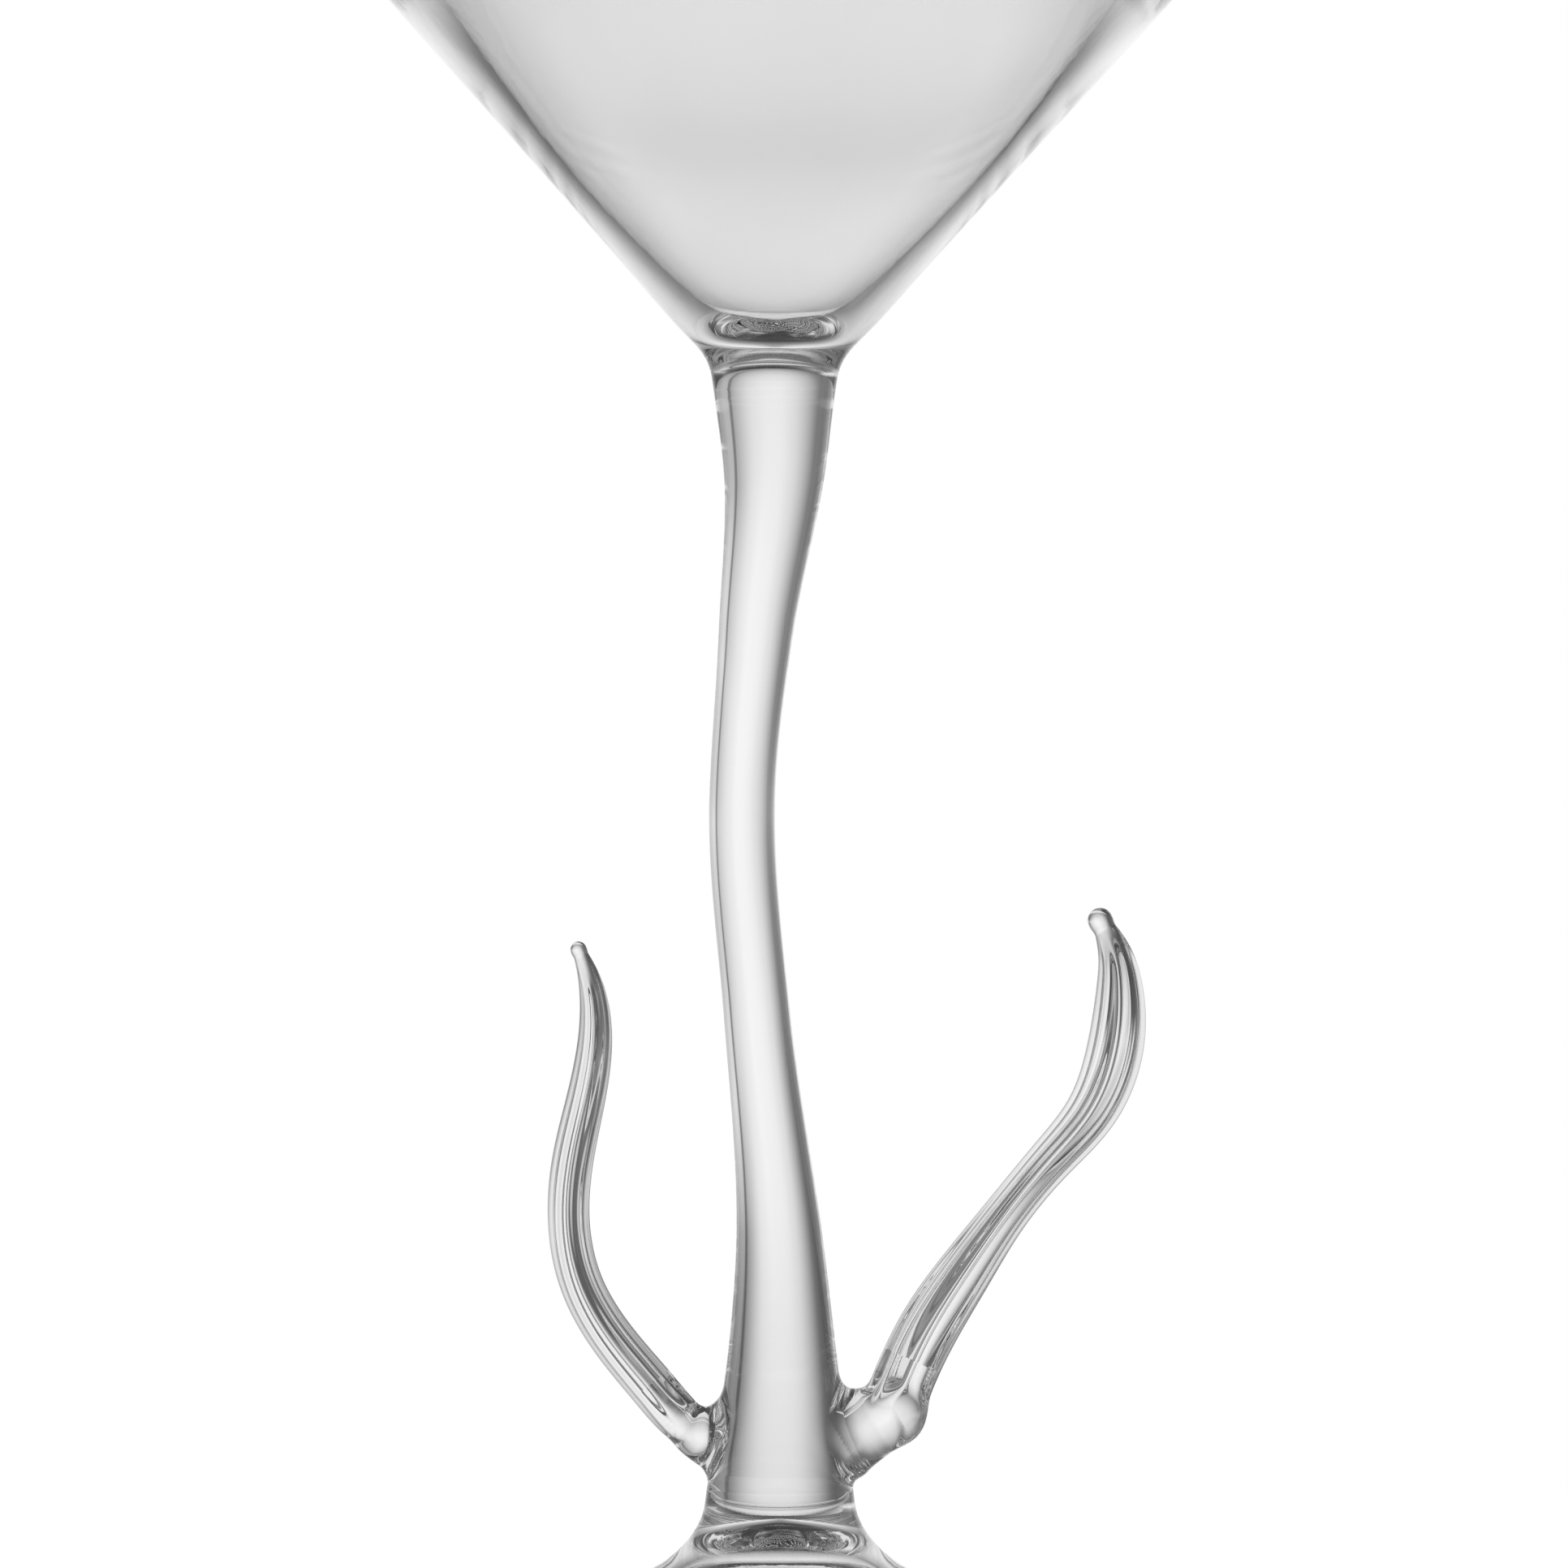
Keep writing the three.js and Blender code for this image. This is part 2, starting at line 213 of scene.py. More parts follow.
class Limb:
    """A leaf with its root: a ribbed rod swept along a curve, and a plain stub that reaches into the stem."""

    def __init__(self, side, rows, sections, stub, bead_radius):
        rows = np.asarray(rows, float)
        top = rows[-1, 2]
        rows[:, 0] = side * (STEM_SIDE + rows[:, 0]) + float(stem_centre(ROOT_Z))
        rows[:, 2] += ROOT_Z
        path = natural_spline(rows, RING_STEP)
        self.centre = path[:, :3]
        self.half = path[:, 3]
        rise = self.centre[:, 2] - ROOT_Z
        share = (rise - RIBS_START) / (top - RIBS_START)
        sections = np.array(sections)
        self.depth, self.turn, rib, taper, lean = [along(sections[:, [0, i]], share) for i in range(1, 6)]
        ribbed = smoothstep(rise, 0, RIBS_START) * (1 - smoothstep(rise, top - RIBS_FADE, top))
        self.rib = rib * ribbed
        self.taper = taper * (0.3 + 0.7 * ribbed)
        way = np.gradient(self.centre, axis=0)
        self.way = way / np.linalg.norm(way, axis=1)[:, None]
        deep = np.array([0, 1, 0]) - self.way * self.way[:, 1:2]
        self.deep = deep / np.linalg.norm(deep, axis=1)[:, None]
        self.wide = np.cross(self.deep, self.way)
        cos = np.cos(np.radians(lean))[:, None]
        sin = np.sin(np.radians(lean))[:, None]
        self.wide, self.deep = cos * self.wide + sin * self.deep, cos * self.deep - sin * self.wide
        steps = np.linalg.norm(np.diff(self.centre, axis=0), axis=1)
        self.length = np.concatenate([[0], np.cumsum(steps)])
        self.side = side
        self.stub = stub
        self.bead_radius = bead_radius

    def leaf_field(self, p):
        """How far points p are outside the leaf's skin, less than 0 inside it."""
        nearest = np.empty(len(p), int)
        sizes = (self.centre**2).sum(1)
        for start in range(0, len(p), 40000):
            part = p[start:start + 40000]
            nearest[start:start + 40000] = np.argmin(sizes - 2 * part @ self.centre.T, axis=1)
        total = self.length[-1]
        ahead = ((p - self.centre[nearest]) * self.way[nearest]).sum(1)
        s = np.clip(self.length[nearest] + ahead, 0, total)

        def at(values):
            return np.stack([np.interp(s, self.length, v) for v in values.T], axis=1)

        half = np.interp(s, self.length, self.half)
        off = p - at(self.centre)
        u = (off * at(self.wide)).sum(1)
        thin = 1 - np.interp(s, self.length, self.taper) * np.clip(u / half, -1, 1)
        v = (off * at(self.deep)).sum(1) / np.interp(s, self.length, self.depth) / thin
        w = (off * at(self.way)).sum(1)
        reach = np.sqrt(u**2 + v**2 + w**2)
        around = np.arctan2(v, u)
        fade = (u**2 + v**2) / np.maximum(reach**2, 1e-9)
        rib = self.ribbed(around, np.interp(s, self.length, self.turn), np.interp(s, self.length, self.rib) * fade)
        return reach - half * rib

    def ribbed(self, around, turn, rib):
        """A rib's share of the half width: broad round ridges with narrow valleys."""
        angle = RIB_COUNT * around + np.radians(turn)
        most = 1 + rib * (1 - RIB_SHARPNESS)
        return (1 + rib * (np.cos(angle) - RIB_SHARPNESS * np.cos(2 * angle))) / most

    def stub_field(self, p):
        """The same for the stub, a rod with round ends between two places, each [out, y, up, radius]."""
        (out0, y0, up0, r0), (out1, y1, up1, r1) = self.stub
        x0 = float(stem_centre(ROOT_Z))
        a = np.array([x0 + self.side * (STEM_SIDE + out0), y0, ROOT_Z + up0])
        b = np.array([x0 + self.side * (STEM_SIDE + out1), y1, ROOT_Z + up1])
        line = b - a
        t = np.clip((p - a) @ line / (line @ line), 0, 1)
        return np.linalg.norm(p - a - t[:, None] * line, axis=1) - (r0 + (r1 - r0) * t)

    def ring(self, i, radius, ahead=0.0):
        """The leaf's outline at path point i, moved ahead along the path. radius None takes the leaf's own."""
        around = np.linspace(0, 2 * math.pi, LEAF_SIDES, endpoint=False)
        rib = self.ribbed(around, self.turn[i], self.rib[i])
        reach = (self.half[i] if radius is None else radius) * rib
        u = reach * np.cos(around)
        v = reach * np.sin(around) * self.depth[i] * (1 - self.taper[i] * np.cos(around))
        centre = self.centre[i] + ahead * self.way[i]
        return centre + u[:, None] * self.wide[i] + v[:, None] * self.deep[i]

    def rings(self, first):
        """Outlines from path point first to the bead at the tip, and the end of the bead."""
        end = self.length[-1]
        rings = []
        for i in range(first, len(self.centre)):
            back = end - self.length[i]
            bead = math.sqrt(max(self.bead_radius**2 - back**2, 0))
            rings.append(self.ring(i, smooth_max(self.half[i], bead, 0.5)))
        last = smooth_max(self.half[-1], self.bead_radius, 0.5)
        for angle in np.linspace(0, math.pi / 2, 12)[1:-1]:
            rings.append(self.ring(-1, last * math.cos(angle), last * math.sin(angle)))
        pole = self.centre[-1] + last * self.way[-1]
        return rings, pole


def blend(a, b, spread):
    """The smaller of two fields, rounded where they are alike."""
    near = np.maximum(spread - np.abs(a - b), 0) / spread
    return np.minimum(a, b) - near**2 * spread / 4


def smooth_max(a, b, spread):
    return -float(blend(-a, -b, spread))


LEFT = Limb(-1, LEFT_PATH, LEFT_SECTIONS, ([-1.8, 0, 0.2, 2.7], [1.0, -0.4, 0.5, 2.5]), 0.66)
RIGHT = Limb(1, RIGHT_PATH, RIGHT_SECTIONS, ([-0.5, 0, 0.1, 3.75], [4.3, 0.2, 2.9, 3.0]), 1.15)


def stem_field(p):
    return np.hypot(p[:, 0] - stem_centre(p[:, 2]), p[:, 1]) - stem_radius(p[:, 2])


def fused_field(p):
    """The stem with both limbs melted onto it."""
    field = stem_field(p)
    for limb in (LEFT, RIGHT):
        low = (p[:, 2] < ROOT_Z + 22) & (p[:, 0] * limb.side > 0)
        q = p[low]
        value = blend(field[low], limb.stub_field(q), FILLET)
        value = blend(value, limb.leaf_field(q), CREASE)
        share = smoothstep(q[:, 2], STEM_LOW, STEM_LOW + 1.6)
        field[low] += (value - field[low]) * share
    return field


def fused_slope(p):
    """Unit outward direction of the fused skin at p."""
    step = 0.01
    slope = np.empty_like(p)
    for axis in range(3):
        shift = np.zeros(3)
        shift[axis] = step
        slope[:, axis] = fused_field(p + shift) - fused_field(p - shift)
    return slope / np.linalg.norm(slope, axis=1)[:, None]


def root_skin(limb):
    """Points and four-sided faces of the fused skin round a limb's root."""
    x = float(stem_centre(ROOT_Z)) + limb.side * STEM_SIDE
    ends = sorted([x - limb.side * 1.5, x + limb.side * 12])
    low = np.array([ends[0], -7.5, ROOT_Z - 9])
    high = np.array([ends[1], 7.5, ROOT_Z + 9.6])
    shape = tuple(np.ceil((high - low) / VOXEL).astype(int) + 1)
    coarse = 4
    rough = np.stack(np.meshgrid(*[np.arange(0, n, coarse) for n in shape], indexing="ij"), -1)
    near = np.abs(fused_field(rough.reshape(-1, 3) * VOXEL + low)) < coarse * VOXEL * 1.6
    inside = fused_field(rough.reshape(-1, 3) * VOXEL + low) < 0
    values = np.where(inside, -1.0, 1.0).reshape(rough.shape[:3])
    for axis in range(3):
        values = np.repeat(values, coarse, axis=axis)
        near = near.reshape(-1)
    mask = near.reshape(rough.shape[:3])
    for axis in range(3):
        mask = np.repeat(mask, coarse, axis=axis)
    values = values[:shape[0], :shape[1], :shape[2]].astype(np.float32)
    mask = mask[:shape[0], :shape[1], :shape[2]]
    cells = np.argwhere(mask)
    values[mask] = np.clip(fused_field(cells * VOXEL + low), -1, 1)
    for axis in range(3):
        edge = [slice(None)] * 3
        edge[axis] = 0
        values[tuple(edge)] = 1
        edge[axis] = -1
        values[tuple(edge)] = 1
    grid = openvdb.FloatGrid(1.0)
    grid.copyFromArray(values)
    points, faces = grid.convertToQuads()
    points = points.astype(float) * VOXEL + low
    away = np.all((points > low + 3 * VOXEL) & (points < high - 3 * VOXEL), axis=1)
    for _ in range(3):
        points[away] -= fused_field(points[away])[:, None] * fused_slope(points[away])
    return points, faces[:, ::-1]


def stem_rings():
    """Outlines of the stem with the start of both roots, upwards."""
    heights = np.concatenate([
        np.arange(STEM_LOW, ROOT_Z + 11, 0.2),
        np.linspace(ROOT_Z + 11, STEM_HIGH, 300),
    ])
    around = np.linspace(0, 2 * math.pi, STEM_SIDES, endpoint=False)
    outward = np.stack([np.cos(around), np.sin(around), np.zeros(STEM_SIDES)], 1)
    rings = []
    for z in heights:
        centre = np.array([float(stem_centre(z)), 0, z])
        reach = np.full(STEM_SIDES, float(stem_radius(z)))
        if z < ROOT_Z + 12:
            reach = reach_out(centre, outward, reach)
        rings.append(centre + reach[:, None] * outward)
    return rings


def reach_out(centre, outward, start):
    """How far the fused skin is from centre along each outward line. A line into a root stops just past the stem."""
    reach = start - 0.2
    most = start + 2.5
    for _ in range(24):
        field = fused_field(centre + reach[:, None] * outward)
        reach = np.minimum(reach - 0.9 * field, most)
    return reach


# ---------------------------------------------------------------- materials

def math_node(tree, operation, a, b=None):
    node = tree.nodes.new("ShaderNodeMath")
    node.operation = operation
    for i, value in enumerate((a, b)):
        if value is None:
            continue
        if isinstance(value, (int, float)):
            node.inputs[i].default_value = value
        else:
            tree.links.new(value, node.inputs[i])
    return node.outputs[0]


def ramp_node(tree, factor, stops):
    node = tree.nodes.new("ShaderNodeValToRGB")
    elements = node.color_ramp.elements
    while len(elements) < len(stops):
        elements.new(0.5)
    for element, (position, value) in zip(elements, stops):
        element.position = position
        element.color = (value, value, value, 1)
    tree.links.new(factor, node.inputs[0])
    return node.outputs[0]


def clear_material():
    material = bpy.data.materials.new("clear_glass")
    material.use_nodes = True
    nodes = material.node_tree.nodes
    shader = nodes["Principled BSDF"]
    shader.inputs["Base Color"].default_value = (0.96, 0.96, 0.96, 1)
    shader.inputs["Roughness"].default_value = 0.0
    shader.inputs["IOR"].default_value = 1.5
    shader.inputs["Transmission Weight"].default_value = 1.0
    tree = material.node_tree
    place = tree.nodes.new("ShaderNodeTexCoord").outputs["Object"]
    clouds = noise_node(tree, place, (35, 35, 20), 4)
    tint = ramp_node(tree, clouds, [(0.3, 0.94), (0.7, 0.975)])
    tree.links.new(tint, shader.inputs["Base Color"])
    drawn = noise_node(tree, place, (240, 240, 18), 3)
    ripples = noise_node(tree, place, (60, 60, 60), 2)
    bump = tree.nodes.new("ShaderNodeBump")
    bump.inputs["Strength"].default_value = 1.0
    bump.inputs["Distance"].default_value = WAVINESS * MM
    tree.links.new(math_node(tree, "ADD", drawn, math_node(tree, "MULTIPLY", ripples, 2.0)), bump.inputs["Height"])
    tree.links.new(bump.outputs["Normal"], shader.inputs["Normal"])
    return material


def noise_node(tree, place, scale, detail):
    """Smooth noise with scale cycles a metre along each axis."""
    mapping = tree.nodes.new("ShaderNodeMapping")
    mapping.inputs["Scale"].default_value = scale
    tree.links.new(place, mapping.inputs["Vector"])
    noise = tree.nodes.new("ShaderNodeTexNoise")
    noise.inputs["Scale"].default_value = 1.0
    noise.inputs["Detail"].default_value = detail
    tree.links.new(mapping.outputs["Vector"], noise.inputs["Vector"])
    return noise.outputs[0]


def joint_material():
    material = bpy.data.materials.new("fused_joint")
    material.use_nodes = True
    tree = material.node_tree
    tree.nodes.clear()
    clear = tree.nodes.new("ShaderNodeBsdfTransparent")
    output = tree.nodes.new("ShaderNodeOutputMaterial")
    tree.links.new(clear.outputs[0], output.inputs["Surface"])
    return material


GLASS = clear_material()
JOINT = joint_material()


# ---------------------------------------------------------------- meshes

def finish_piece(bm, name, nodes, normal_of=None):
    """Makes the piece's object from a closed bmesh in millimetres, whose joint faces have material index 1."""
    bmesh.ops.recalc_face_normals(bm, faces=bm.faces)
    for face in bm.faces:
        face.smooth = face.material_index == 0
    mesh = bpy.data.meshes.new(name)
    bm.to_mesh(mesh)
    bm.free()
    mesh.materials.append(GLASS)
    mesh.materials.append(JOINT)
    if normal_of is None:
        mesh.set_sharp_from_angle(angle=math.radians(40))
    else:
        set_skin_normals(mesh, normal_of)
    mesh.transform(Matrix.Scale(MM, 4))
    piece = bpy.data.objects.new(name, mesh)
    bpy.context.scene.collection.objects.link(piece)
    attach(piece, "root")
    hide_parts(*nodes)
    return piece


def set_skin_normals(mesh, normal_of):
    points = np.empty(len(mesh.vertices) * 3)
    mesh.vertices.foreach_get("co", points)
    skin = normal_of(points.reshape(-1, 3))
    loops = np.empty(len(mesh.loops), int)
    mesh.loops.foreach_get("vertex_index", loops)
    normals = skin[loops]
    for face in mesh.polygons:
        if face.material_index == 1:
            normals[face.loop_start:face.loop_start + face.loop_total] = face.normal
    mesh.normals_split_custom_set(normals.tolist())


def ring_mesh(rings, joints=()):
    """A bmesh of the bands between neighbouring rings. A ring of one point closes an end. joints gives the bands
    that are joint faces."""
    bm = bmesh.new()
    levels = [[bm.verts.new(co) for co in ring] for ring in rings]
    for i in range(len(levels) - 1):
        a = levels[i]
        b = levels[i + 1]
        sides = max(len(a), len(b))
        for k in range(sides):
            k2 = (k + 1) % sides
            corners = [a[k % len(a)], a[k2 % len(a)], b[k2 % len(b)], b[k % len(b)]]
            face = bm.faces.new(list(dict.fromkeys(corners)))
            face.material_index = 1 if i in joints else 0
    return bm


def turned(name, nodes, outline, place=None, joints=()):
    """A piece turned about Z from an outline of [radius, height], from the axis round to the axis."""
    angles = np.linspace(0, 2 * math.pi, TURNED_SIDES, endpoint=False)
    rings = []
    for radius, height in outline:
        if radius < 1e-6:
            ring = np.array([[0.0, 0.0, height]])
        else:
            ring = np.stack([radius * np.cos(angles), radius * np.sin(angles), np.full(TURNED_SIDES, height)], 1)
        rings.append(ring if place is None else place(ring))
    return finish_piece(ring_mesh(rings, joints), name, nodes)


# ---------------------------------------------------------------- foot and its collar

def foot_outside():
    """The outside from the stem's end, over the waist and out to the foot's edge."""
    return natural_spline(
        [
            [float(stem_radius(STEM_LOW + 2)), STEM_LOW + 2],
            [STEM_FOOT_RADIUS, STEM_LOW],
            [7.06, FOOT_TOP],
            [8.14, 11.1],
            [10.35, 8.85],
            [14.2, 6.8],
            [19.5, 5.1],
            [27.0, 3.7],
            [FOOT_RADIUS - 1.2, 2.6],
            [FOOT_RADIUS - 0.25, 2.1],
            [FOOT_RADIUS, 1.3],
            [FOOT_RADIUS - 0.3, 0.4],
            [FOOT_RADIUS - 1.2, 0],
        ],
        0.3,
    )


def foot_underside():
    return natural_spline(
        [
            [FOOT_RADIUS - 4.2, 0],
            [FOOT_RADIUS - 7.5, 0.55],
            [24.0, 1.5],
            [17.0, 2.9],
            [12.5, 4.7],
            [9.3, 6.9],
            [6.8, 9.0],
            [4.2, 10.6],
            [1.8, 11.6],
            [0.0, 12.0],
        ],
        0.3,
    )


def build_foot():
    outside = foot_outside()
    collar_side = outside[(outside[:, 1] < STEM_LOW) & (outside[:, 1] > FOOT_TOP)]
    foot_side = outside[outside[:, 1] < FOOT_TOP]
    joint_radius = float(np.interp(FOOT_TOP, outside[::-1, 1], outside[::-1, 0]))
    collar = [[0, STEM_LOW], [STEM_FOOT_RADIUS, STEM_LOW], *collar_side, [joint_radius, FOOT_TOP], [0, FOOT_TOP]]
    turned("foot_collar", ["foot_collar"], collar, joints=(0, len(collar) - 2))
    foot = [[0, FOOT_TOP], [joint_radius, FOOT_TOP], *foot_side, *foot_underside()]
    foot[-1] = [0, foot[-1][1]]
    turned("foot", ["foot"], foot, joints=(0,))


# ---------------------------------------------------------------- bowl and its collar

TILT = math.asin(-STEM_TOP_CENTRE / (RIM_TOP - BOWL_LOW))


def leaned(share_at):
    """Moves turned points onto the stem's end, and leans them back by share_at(height) of the bowl's tilt."""
    def place(ring):
        angle = TILT * share_at(ring[0, 2])
        x = ring[:, 0]
        rise = ring[:, 2] - BOWL_LOW
        out = np.empty_like(ring)
        out[:, 0] = STEM_TOP_CENTRE + x * math.cos(angle) + rise * math.sin(angle)
        out[:, 1] = ring[:, 1]
        out[:, 2] = BOWL_LOW - x * math.sin(angle) + rise * math.cos(angle)
        return out
    return place


def bowl_outside():
    """The outside from the stem's end up the flank to just below the rim."""
    return natural_spline(
        [
            [float(stem_radius(STEM_HIGH - 2)), STEM_HIGH - 2],
            [STEM_TOP_RADIUS, STEM_HIGH],
            [6.0, BOWL_LOW],
            [6.55, BOWL_LOW + 1.2],
            [8.3, BOWL_LOW + 3.2],
            [12.3, BOWL_LOW + 7.6],
            [31.2, BOWL_LOW + 28.6],
            [RIM_RADIUS - 1.2, BOWL_LOW + 54.9],
        ],
        0.46,
    )


def bowl_inside():
    """The inside from just below the rim down to the round bottom."""
    return natural_spline(
        [
            [RIM_RADIUS - 3.0, BOWL_LOW + 55.3],
            [44.2, BOWL_LOW + 45.7],
            [28.6, BOWL_LOW + 30.9],
            [17.9, BOWL_LOW + 17.3],
            [12.4, BOWL_LOW + 11.2],
            [8.9, BOWL_LOW + 7.7],
            [6.4, BOWL_LOW + 5.6],
            [3.8, BOWL_LOW + 4.2],
            [0.0, BOWL_LOW + 3.5],
        ],
        0.46,
    )


def build_bowl():
    outside = bowl_outside()
    collar_side = outside[(outside[:, 1] > STEM_HIGH) & (outside[:, 1] < BOWL_LOW)]
    bowl_side = outside[outside[:, 1] > BOWL_LOW]
    joint_radius = float(np.interp(BOWL_LOW, outside[:, 1], outside[:, 0]))
    collar = [[0, STEM_HIGH], [STEM_TOP_RADIUS, STEM_HIGH], *collar_side, [joint_radius, BOWL_LOW], [0, BOWL_LOW]]
    height = BOWL_LOW - STEM_HIGH
    turned(
        "bowl_collar",
        ["bowl_collar"],
        collar,
        place=leaned(lambda z: (z - STEM_HIGH) / height),
        joints=(0, len(collar) - 2),
    )
    inside = bowl_inside()
    lip = natural_spline([bowl_side[-2], bowl_side[-1], [RIM_RADIUS, RIM_TOP - 1.2], [RIM_RADIUS - 0.9, RIM_TOP - 0.5],
                          [RIM_RADIUS - 2.2, RIM_TOP - 0.7], inside[0], inside[1]], 0.15)
    bowl = [[0, BOWL_LOW], [joint_radius, BOWL_LOW], *bowl_side[:-2], *lip, *inside[2:]]
    bowl[-1] = [0, bowl[-1][1]]
    turned("bowl", ["bowl"], bowl, place=leaned(lambda z: 1.0), joints=(0,))


# ---------------------------------------------------------------- cutting the fused skin into pieces

def new_bmesh(points, faces):
    bm = bmesh.new()
    verts = [bm.verts.new(co) for co in points]
    for face in faces:
        bm.faces.new([verts[i] for i in face])
    return bm


def split(bm, centre, direction, within=None):
    """Cuts a closed bmesh at a plane. Returns the part that lies ahead of it, and leaves the rest in bm. Both parts
    get a joint face. within(face centre) limits the cut to one region."""
    direction = Vector(direction).normalized()
    centre = Vector(centre)
    region = [f for f in bm.faces if within is None or within(f.calc_center_median())]
    parts = set(region)
    for face in region:
        parts.update(face.edges)
        parts.update(face.verts)
    bmesh.ops.bisect_plane(bm, geom=list(parts), dist=1e-5, plane_co=centre, plane_no=direction)
    ahead = [
        f for f in bm.faces
        if (within is None or within(f.calc_center_median()))
        and (f.calc_center_median() - centre).dot(direction) > 0
    ]
    part = bm.copy()
    bm.faces.ensure_lookup_table()
    part.faces.ensure_lookup_table()
    taken = {f.index for f in ahead}
    bm.faces.index_update()
    taken = {f.index for f in ahead}
    part.faces.index_update()
    bmesh.ops.delete(part, geom=[f for f in part.faces if f.index not in taken], context="FACES")
    bmesh.ops.delete(bm, geom=ahead, context="FACES")
    for mesh in (part, bm):
        rim = [
            e for e in mesh.edges
            if e.is_boundary and all(abs((v.co - centre).dot(direction)) < 1e-3 for v in e.verts)
        ]
        filled = bmesh.ops.contextual_create(mesh, geom=rim)
        for face in filled["faces"]:
            face.material_index = 1
    return part


def settle_rim(bm, centre, direction):
    """Moves the corners of a joint with a root onto the fused skin, without leaving the joint's plane."""
    direction = np.array(direction, float)
    direction /= np.linalg.norm(direction)
    away = (np.array([v.co for v in bm.verts]) - centre) @ direction
    rim = [v for v, gap in zip(bm.verts, away) if abs(gap) < 1e-3]
    points = np.array([v.co for v in rim])
    for _ in range(6):
        slope = fused_slope(points)
        slope -= (slope @ direction)[:, None] * direction
        slope /= np.maximum(np.linalg.norm(slope, axis=1)[:, None], 0.3)
        points -= np.clip(fused_field(points), -0.05, 0.05)[:, None] * slope
    for v, point in zip(rim, points):
        v.co = point


def root_plane(limb):
    """A place and the outward direction of the flat joint between the stem and a root."""
    def side_at(z):
        return float(limb.side * stem_centre(z) + stem_radius(z))

    lean = (side_at(ROOT_Z + 1) - side_at(ROOT_Z - 1)) / 2
    x = float(stem_centre(ROOT_Z)) + limb.side * (STEM_SIDE + ROOT_JOINT)
    return (x, 0, ROOT_Z), (limb.side, 0, -lean)


def build_stem():
    rings = stem_rings()
    first = np.array([[float(stem_centre(STEM_LOW)), 0, STEM_LOW]])
    last = np.array([[float(stem_centre(STEM_HIGH)), 0, STEM_HIGH]])
    bm = ring_mesh([first, *rings, last], joints=(0, len(rings)))
    for limb in (LEFT, RIGHT):
        def low_side(centre, side=limb.side):
            return centre.x * side > 4 and centre.z < ROOT_Z + 8
        split(bm, *root_plane(limb), low_side).free()
        settle_rim(bm, *root_plane(limb))
    finish_piece(bm, "stem", ["stem"], fused_slope)


def build_limb(limb, name):
    points, faces = root_skin(limb)
    bm = new_bmesh(points, faces)
    root = split(bm, *root_plane(limb))
    settle_rim(root, *root_plane(limb))
    bm.free()
    first = int(LEAF_JOINT / RING_STEP)
    split(root, limb.centre[first], limb.way[first]).free()
    finish_piece(root, name + "_root", [name + "_root"], fused_slope)
    rings, pole = limb.rings(first)
    leaf = ring_mesh([[limb.centre[first]], *rings, [pole]], joints=(0,))
    finish_piece(leaf, name, [name])


# ---------------------------------------------------------------- surroundings

VIEW_CENTRE = (0.375, 0, 80.4)
VIEW_WIDTH = 144.9
CAMERA_DISTANCE = 800.0


def build_camera():
    camera = bpy.data.cameras.new("camera")
    camera.sensor_width = 36
    camera.lens = 36 * CAMERA_DISTANCE / VIEW_WIDTH
    camera.clip_start = 0.01
    camera.clip_end = 100
    holder = bpy.data.objects.new("camera", camera)
    x, y, z = VIEW_CENTRE
    holder.location = Vector((x, y - CAMERA_DISTANCE, z)) * MM
    holder.rotation_euler = (math.pi / 2, 0, 0)
    bpy.context.scene.collection.objects.link(holder)
    bpy.context.scene.camera = holder


# Brightness of the surroundings by the angle from straight behind the glass, to each side
LEFT_LIGHT = [
    (0, 0.97), (5, 0.93), (11, 0.87), (17, 0.79), (24, 0.66), (28, 0.57), (33, 0.44), (39, 0.27), (46, 0.22),
    (52, 0.25), (58, 0.34), (65, 0.52), (71, 0.8), (78, 0.95), (95, 0.6), (105, 0.12), (140, 0.12), (155, 0.8),
]
RIGHT_LIGHT = [
    (0, 0.97), (8, 0.97), (14, 0.92), (21, 0.85), (28, 0.75), (33, 0.65), (37, 0.55), (38, 0.22), (41, 0.22),
    (42.5, 0.7), (50, 0.82), (65, 0.72), (75, 0.6), (80, 0.25), (100, 0.1), (115, 0.08), (140, 0.12), (155, 0.8),
]
UPPER_LIGHT = [
    (0, 0.97), (10, 0.9), (30, 0.6), (42, 0.35), (60, 0.07), (75, 0.07), (90, 0.03), (120, 0.03), (150, 0.08),
    (160, 0.8), (180, 0.85),
]
LOWER_LIGHT = [
    (0, 0.97), (10, 0.87), (14, 0.8), (25, 0.6), (40, 0.3), (60, 0.07), (75, 0.07), (90, 0.05), (120, 0.05),
    (150, 0.08), (160, 0.8), (180, 0.85),
]
# How much darker the sides are by height, from straight down to straight up, and at which angles that holds
SIDE_SHADE = [(0, 0.6), (0.38, 0.65), (0.44, 0.5), (0.49, 0.1), (0.5, 0), (0.51, 0.05), (0.56, 0.3), (1, 0.3)]
BESIDE = [(18, 0), (36, 1), (62, 1), (74, 0)]
# Light that only shows straight through the glass: from the sides and front by angle, and from below by height
OPEN_BESIDE = [(78, 0), (90, 0.85), (180, 0.85)]
OPEN_BELOW = [(0, 0.88), (0.18, 0.88), (0.27, 0)]


def by_angle(tree, angle, stops):
    return ramp_node(tree, angle, [(degrees / 180, value) for degrees, value in stops])


def choose(tree, share, low, high):
    """low where share is 0, high where it is 1."""
    difference = math_node(tree, "SUBTRACT", high, low)
    return math_node(tree, "ADD", low, math_node(tree, "MULTIPLY", difference, share))


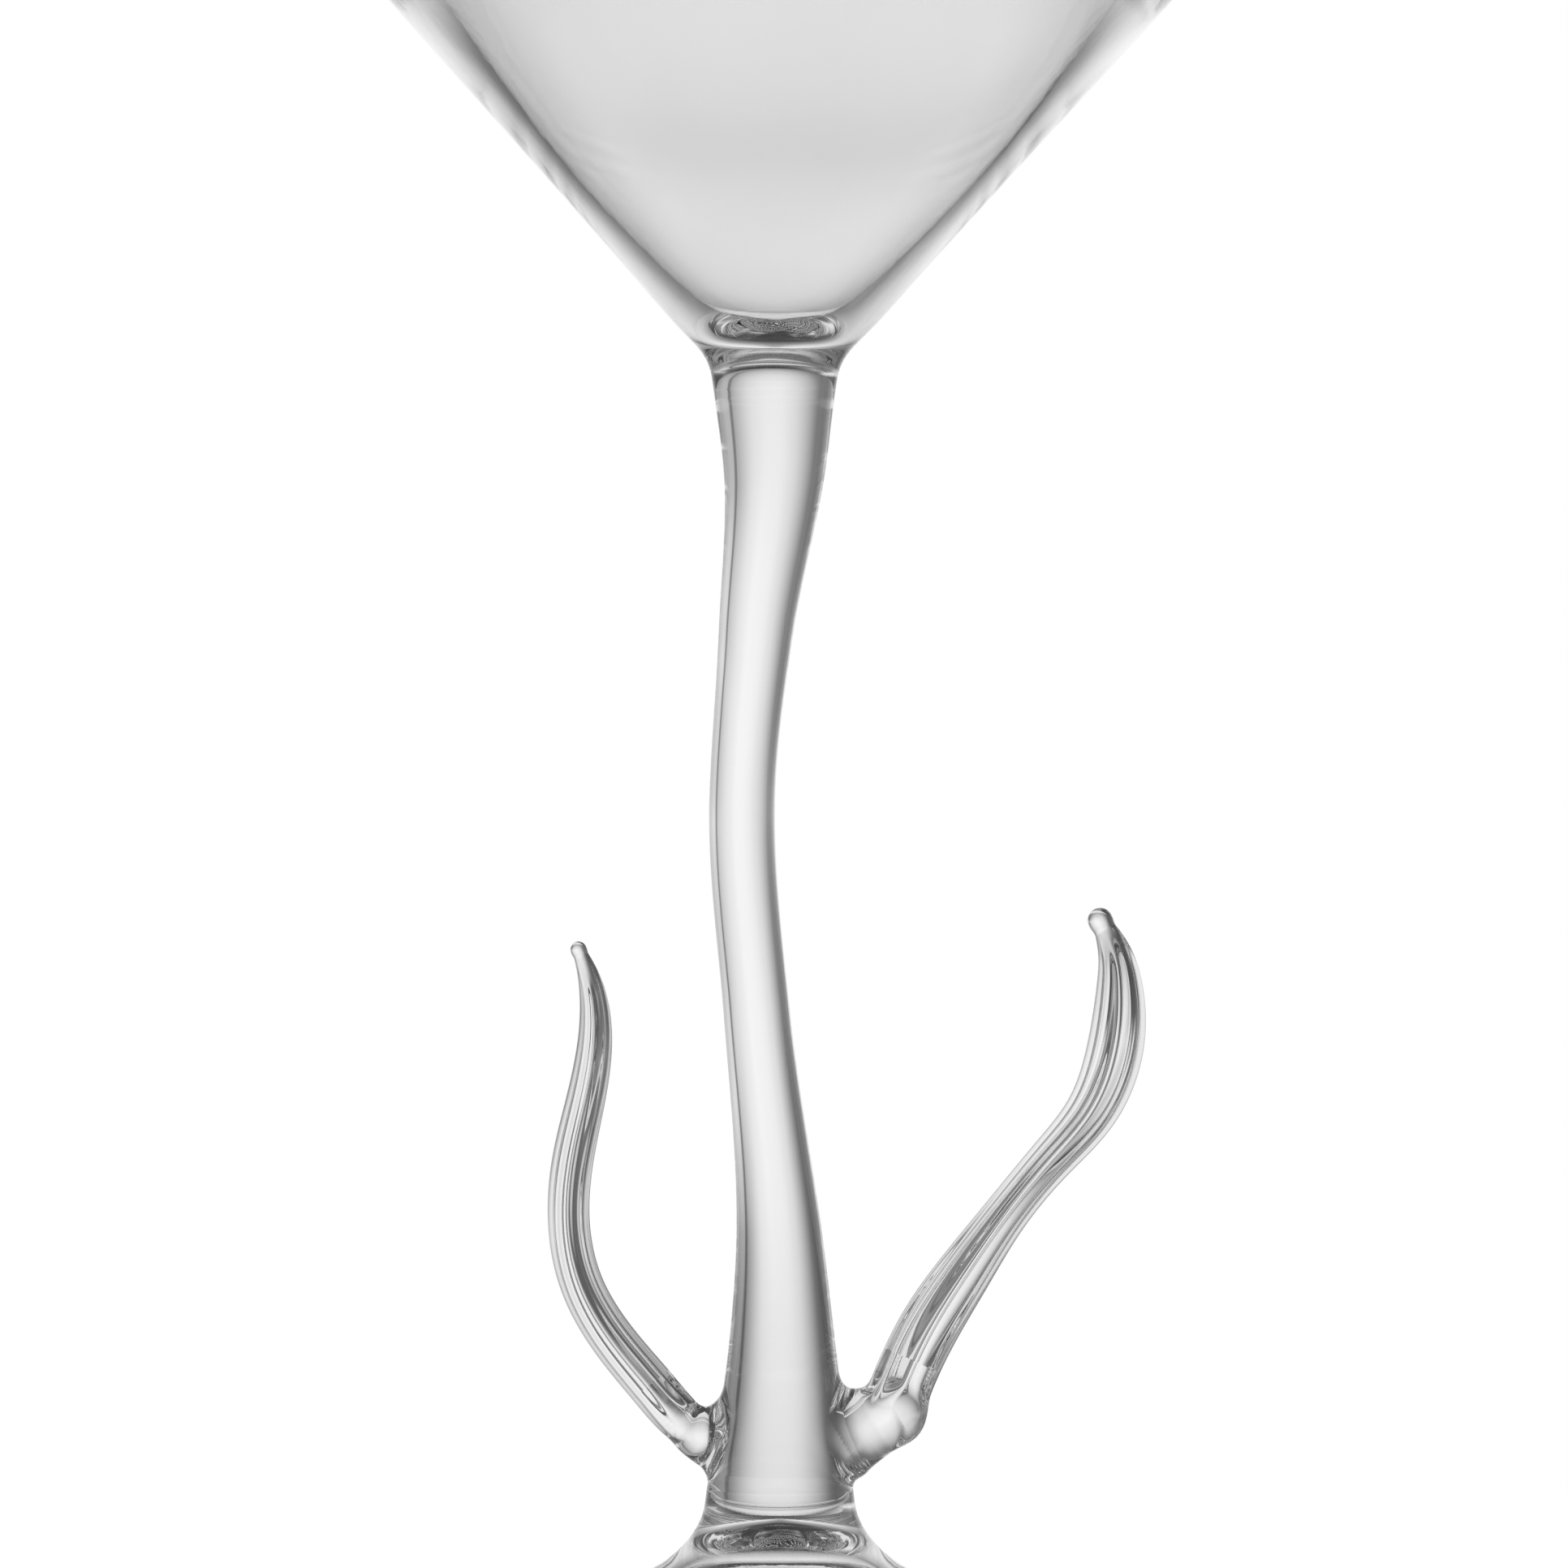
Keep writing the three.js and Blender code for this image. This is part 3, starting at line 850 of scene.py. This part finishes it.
def build_world():
    world = bpy.data.worlds.new("studio")
    bpy.context.scene.world = world
    world.use_nodes = True
    tree = world.node_tree
    tree.nodes.clear()
    coords = tree.nodes.new("ShaderNodeTexCoord")
    axes = tree.nodes.new("ShaderNodeSeparateXYZ")
    tree.links.new(coords.outputs["Generated"], axes.inputs[0])
    x, y, z = axes.outputs
    angle = math_node(tree, "DIVIDE", math_node(tree, "ARCCOSINE", y), math.pi)
    height = math_node(tree, "ADD", math_node(tree, "MULTIPLY", z, 0.5), 0.5)
    beside = math_node(tree, "MULTIPLY", ramp_node(tree, height, SIDE_SHADE), by_angle(tree, angle, BESIDE))
    sides = choose(
        tree,
        math_node(tree, "GREATER_THAN", x, 0.0),
        by_angle(tree, angle, LEFT_LIGHT),
        by_angle(tree, angle, RIGHT_LIGHT),
    )
    sides = math_node(tree, "MULTIPLY", sides, math_node(tree, "SUBTRACT", 1.0, beside))
    upright = choose(
        tree,
        math_node(tree, "GREATER_THAN", z, 0.0),
        by_angle(tree, angle, LOWER_LIGHT),
        by_angle(tree, angle, UPPER_LIGHT),
    )
    rise = math_node(tree, "MULTIPLY", z, z)
    spread = math_node(tree, "ADD", rise, math_node(tree, "MULTIPLY", x, x))
    share = math_node(tree, "DIVIDE", rise, math_node(tree, "MAXIMUM", spread, 0.000001))
    path = tree.nodes.new("ShaderNodeLightPath")
    straight = math_node(tree, "LESS_THAN", path.outputs["Glossy Depth"], 0.5)
    open_light = math_node(tree, "MAXIMUM", by_angle(tree, angle, OPEN_BESIDE), ramp_node(tree, height, OPEN_BELOW))
    light = choose(tree, share, sides, upright)
    light = math_node(tree, "MAXIMUM", light, math_node(tree, "MULTIPLY", open_light, straight))
    shown = tree.nodes.new("ShaderNodeBackground")
    tree.links.new(light, shown.inputs["Color"])
    plain = tree.nodes.new("ShaderNodeBackground")
    plain.inputs["Color"].default_value = (1, 1, 1, 1)
    mix = tree.nodes.new("ShaderNodeMixShader")
    tree.links.new(path.outputs["Is Camera Ray"], mix.inputs[0])
    tree.links.new(shown.outputs[0], mix.inputs[1])
    tree.links.new(plain.outputs[0], mix.inputs[2])
    output = tree.nodes.new("ShaderNodeOutputWorld")
    tree.links.new(mix.outputs[0], output.inputs["Surface"])


def build_floor():
    bm = bmesh.new()
    bmesh.ops.create_circle(bm, cap_ends=True, segments=128, radius=0.2)
    mesh = bpy.data.meshes.new("floor")
    bm.to_mesh(mesh)
    bm.free()
    material = bpy.data.materials.new("floor")
    material.use_nodes = True
    shader = material.node_tree.nodes["Principled BSDF"]
    shader.inputs["Base Color"].default_value = (0.3, 0.3, 0.3, 1)
    shader.inputs["Roughness"].default_value = 0.9
    shader.inputs["Emission Color"].default_value = (1, 1, 1, 1)
    shader.inputs["Emission Strength"].default_value = 0.93
    tree = material.node_tree
    clear = tree.nodes.new("ShaderNodeBsdfTransparent")
    path = tree.nodes.new("ShaderNodeLightPath")
    mix = tree.nodes.new("ShaderNodeMixShader")
    tree.links.new(path.outputs["Is Camera Ray"], mix.inputs[0])
    tree.links.new(clear.outputs[0], mix.inputs[1])
    tree.links.new(shader.outputs[0], mix.inputs[2])
    tree.links.new(mix.outputs[0], tree.nodes["Material Output"].inputs["Surface"])
    mesh.materials.append(material)
    floor = bpy.data.objects.new("floor", mesh)
    bpy.context.scene.collection.objects.link(floor)


build_camera()
build_world()
build_floor()
build_foot()
build_bowl()
build_stem()
build_limb(LEFT, "left_leaf")
build_limb(RIGHT, "right_leaf")

scene = bpy.context.scene
scene.view_settings.view_transform = "Standard"
scene.cycles.max_bounces = 48
scene.cycles.transmission_bounces = 48
scene.cycles.glossy_bounces = 48
scene.cycles.transparent_max_bounces = 48
